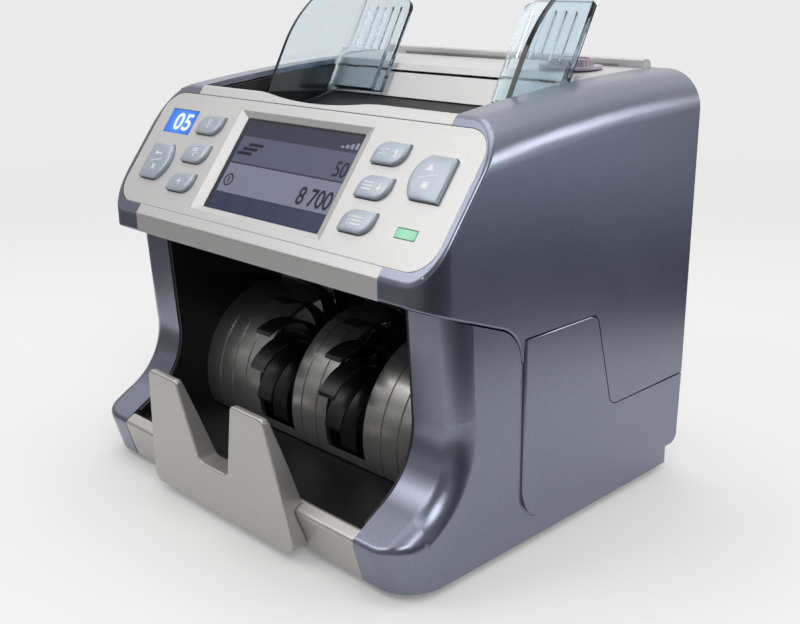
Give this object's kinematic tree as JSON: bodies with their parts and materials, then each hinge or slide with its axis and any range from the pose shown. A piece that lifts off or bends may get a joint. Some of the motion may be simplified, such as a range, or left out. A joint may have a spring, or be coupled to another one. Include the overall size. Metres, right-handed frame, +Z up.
{
  "type": "banknote counter",
  "caption": "Desktop banknote counter with sloping control panel, top hopper with two linked clear guides, and an open front stacking pocket with finger wheels.",
  "frame": {"origin": "on the table under the middle of the overall box", "axes": "+X to the machine's right seen from the front, +Y to its back, +Z up"},
  "size_m": [0.252, 0.2276, 0.2667],
  "materials": {
    "shell_paint": "satin blue-grey metallic paint",
    "silver_paint": "satin silver paint",
    "bar_paint": "satin silver paint, darker",
    "key_plastic": "moulded grey-blue keys",
    "display": "lit display window",
    "blue_window": "lit blue window",
    "green_lens": "translucent green lens",
    "black_plastic": "black moulding",
    "dark_plastic": "dark grey moulding",
    "drum_plastic": "satin dark grey moulding",
    "clear_acrylic": "clear tinted acrylic",
    "ivory_plastic": "acetal",
    "knob_plastic": "moulded knob",
    "steel": "bright steel",
    "rubber": "roller rubber",
    "pad_rubber": "friction pad",
    "belt_rubber": "belt",
    "board": "circuit board",
    "zinc_plate": "zinc plated sheet",
    "motor_black": "black enamel",
    "supply_case": "folded sheet",
    "foot_rubber": "moulded foot"
  },
  "bodies": {
    "casing": {"right_upper_shell": "shell_paint", "left_upper_shell": "shell_paint", "right_lower_shell": "shell_paint", "left_lower_shell": "shell_paint", "fascia": "silver_paint", "top_trim": "silver_paint", "lip_trim": "silver_paint", "top_cover": "silver_paint", "front_bar": "bar_paint", "pocket_plate": "bar_paint", "display_glass": "display", "digit_window": "blue_window", "status_lens": "green_lens", "hopper_tray": "black_plastic", "pocket_liner": "black_plastic", "power_inlet": "black_plastic", "front_sensor_bar": "black_plastic", "rear_sensor_bar": "black_plastic", "base_pan": "dark_plastic", "rear_panel": "dark_plastic", "display_module": "dark_plastic", "drum_guide": "drum_plastic", "screws": "steel", "separator_pad": "pad_rubber", "drive_belt": "belt_rubber", "feed_belt": "belt_rubber", "finger_belt": "belt_rubber", "keypad_board": "board", "mainboard": "board", "right_side_plate": "zinc_plate", "left_side_plate": "zinc_plate", "drive_motor": "motor_black", "power_supply": "supply_case", "feet": "foot_rubber"},
    "right_guide": {"right_guide": "clear_acrylic", "right_rack": "ivory_plastic"},
    "left_guide": {"left_guide": "clear_acrylic", "left_rack": "ivory_plastic"},
    "pinion": {"rack_pinion": "ivory_plastic"},
    "knob": {"gap_knob": "knob_plastic"},
    "pickup": {"pickup_shaft": "steel", "pickup_rollers": "rubber"},
    "feed": {"feed_shaft": "steel", "feed_rollers": "rubber"},
    "main": {"main_shaft": "steel", "main_rollers": "rubber"},
    "pinch": {"pinch_rollers": "rubber"},
    "finger": {"finger_shaft": "steel", "finger_wheels": "drum_plastic"},
    "motor_rotor": {"motor_pulley": "steel"},
    "door": {"rear_door": "silver_paint"},
    "rocker": {"power_rocker": "black_plastic"},
    "key_start": {"key_start": "key_plastic"},
    "key_up_arrow": {"key_up_arrow": "key_plastic"},
    "key_down_arrow": {"key_down_arrow": "key_plastic"},
    "key_report": {"key_report": "key_plastic"},
    "key_back": {"key_back": "key_plastic"},
    "key_select": {"key_select": "key_plastic"},
    "key_batch": {"key_batch": "key_plastic"},
    "key_add": {"key_add": "key_plastic"}
  },
  "joints": [
    {"name": "main_spin", "type": "hinge", "parent": "casing", "child": "main", "pos_m": [0, -0.00485, 0.14], "axis": [1, 0, 0], "continuous": true},
    {"name": "feed_spin", "type": "hinge", "parent": "casing", "child": "feed", "pos_m": [0, -0.01585, 0.1665], "axis": [1, 0, 0], "continuous": true},
    {"name": "pickup_spin", "type": "hinge", "parent": "casing", "child": "pickup", "pos_m": [0, 0.02255, 0.177], "axis": [1, 0, 0], "continuous": true},
    {"name": "finger_spin", "type": "hinge", "parent": "casing", "child": "finger", "pos_m": [0, -0.01485, 0.062], "axis": [1, 0, 0], "continuous": true},
    {"name": "pinch_spin", "type": "hinge", "parent": "casing", "child": "pinch", "pos_m": [0, 0.01895, 0.14], "axis": [1, 0, 0], "continuous": true},
    {"name": "rotor_spin", "type": "hinge", "parent": "casing", "child": "motor_rotor", "pos_m": [0.1, 0.06715, 0.096], "axis": [1, 0, 0], "continuous": true},
    {"name": "right_guide_slide", "type": "slide", "parent": "casing", "child": "right_guide", "axis": [1, 0, 0], "range_m": [-0.038, 0.001]},
    {"name": "left_guide_slide", "type": "slide", "parent": "casing", "child": "left_guide", "axis": [-1, 0, 0], "range_m": [-0.038, 0.001]},
    {"name": "pinion_turn", "type": "hinge", "parent": "casing", "child": "pinion", "pos_m": [0, 0.07715, 0.2075], "axis": [0, 0, 1], "range_deg": [-276, 12]},
    {"name": "knob_turn", "type": "hinge", "parent": "casing", "child": "knob", "pos_m": [0.0675, 0.08165, 0.22], "axis": [0, 0, 1], "range_deg": [-170, 170]},
    {"name": "door_swing", "type": "hinge", "parent": "casing", "child": "door", "pos_m": [0, 0.11025, 0.062], "axis": [-1, 0, 0], "range_deg": [0, 80]},
    {"name": "rocker_tilt", "type": "hinge", "parent": "casing", "child": "rocker", "pos_m": [-0.022, 0.10885, 0.035], "axis": [1, 0, 0], "range_deg": [0, 18]},
    {"name": "key_start_press", "type": "slide", "parent": "casing", "child": "key_start", "axis": [0, 0.7944, -0.6074], "range_m": [0, 0.001], "stiffness_N_per_m": 800, "springref_m": -0.0008},
    {"name": "key_up_arrow_press", "type": "slide", "parent": "casing", "child": "key_up_arrow", "axis": [0, 0.7944, -0.6074], "range_m": [0, 0.001], "stiffness_N_per_m": 800, "springref_m": -0.0008},
    {"name": "key_down_arrow_press", "type": "slide", "parent": "casing", "child": "key_down_arrow", "axis": [0, 0.7944, -0.6074], "range_m": [0, 0.001], "stiffness_N_per_m": 800, "springref_m": -0.0008},
    {"name": "key_report_press", "type": "slide", "parent": "casing", "child": "key_report", "axis": [0, 0.7944, -0.6074], "range_m": [0, 0.001], "stiffness_N_per_m": 800, "springref_m": -0.0008},
    {"name": "key_back_press", "type": "slide", "parent": "casing", "child": "key_back", "axis": [0, 0.7944, -0.6074], "range_m": [0, 0.001], "stiffness_N_per_m": 800, "springref_m": -0.0008},
    {"name": "key_select_press", "type": "slide", "parent": "casing", "child": "key_select", "axis": [0, 0.7944, -0.6074], "range_m": [0, 0.001], "stiffness_N_per_m": 800, "springref_m": -0.0008},
    {"name": "key_batch_press", "type": "slide", "parent": "casing", "child": "key_batch", "axis": [0, 0.7944, -0.6074], "range_m": [0, 0.001], "stiffness_N_per_m": 800, "springref_m": -0.0008},
    {"name": "key_add_press", "type": "slide", "parent": "casing", "child": "key_add", "axis": [0, 0.7944, -0.6074], "range_m": [0, 0.001], "stiffness_N_per_m": 800, "springref_m": -0.0008}
  ],
  "couplings": [
    {"joint": "left_guide_slide", "follows": "right_guide_slide", "ratio": 1},
    {"joint": "pinion_turn", "follows": "right_guide_slide", "rad_per_m": 125},
    {"joint": "feed_spin", "follows": "main_spin", "ratio": 1},
    {"joint": "pickup_spin", "follows": "main_spin", "ratio": 1},
    {"joint": "finger_spin", "follows": "main_spin", "ratio": 1},
    {"joint": "pinch_spin", "follows": "main_spin", "ratio": -1.9375},
    {"joint": "rotor_spin", "follows": "main_spin", "ratio": 1.3333}
  ]
}
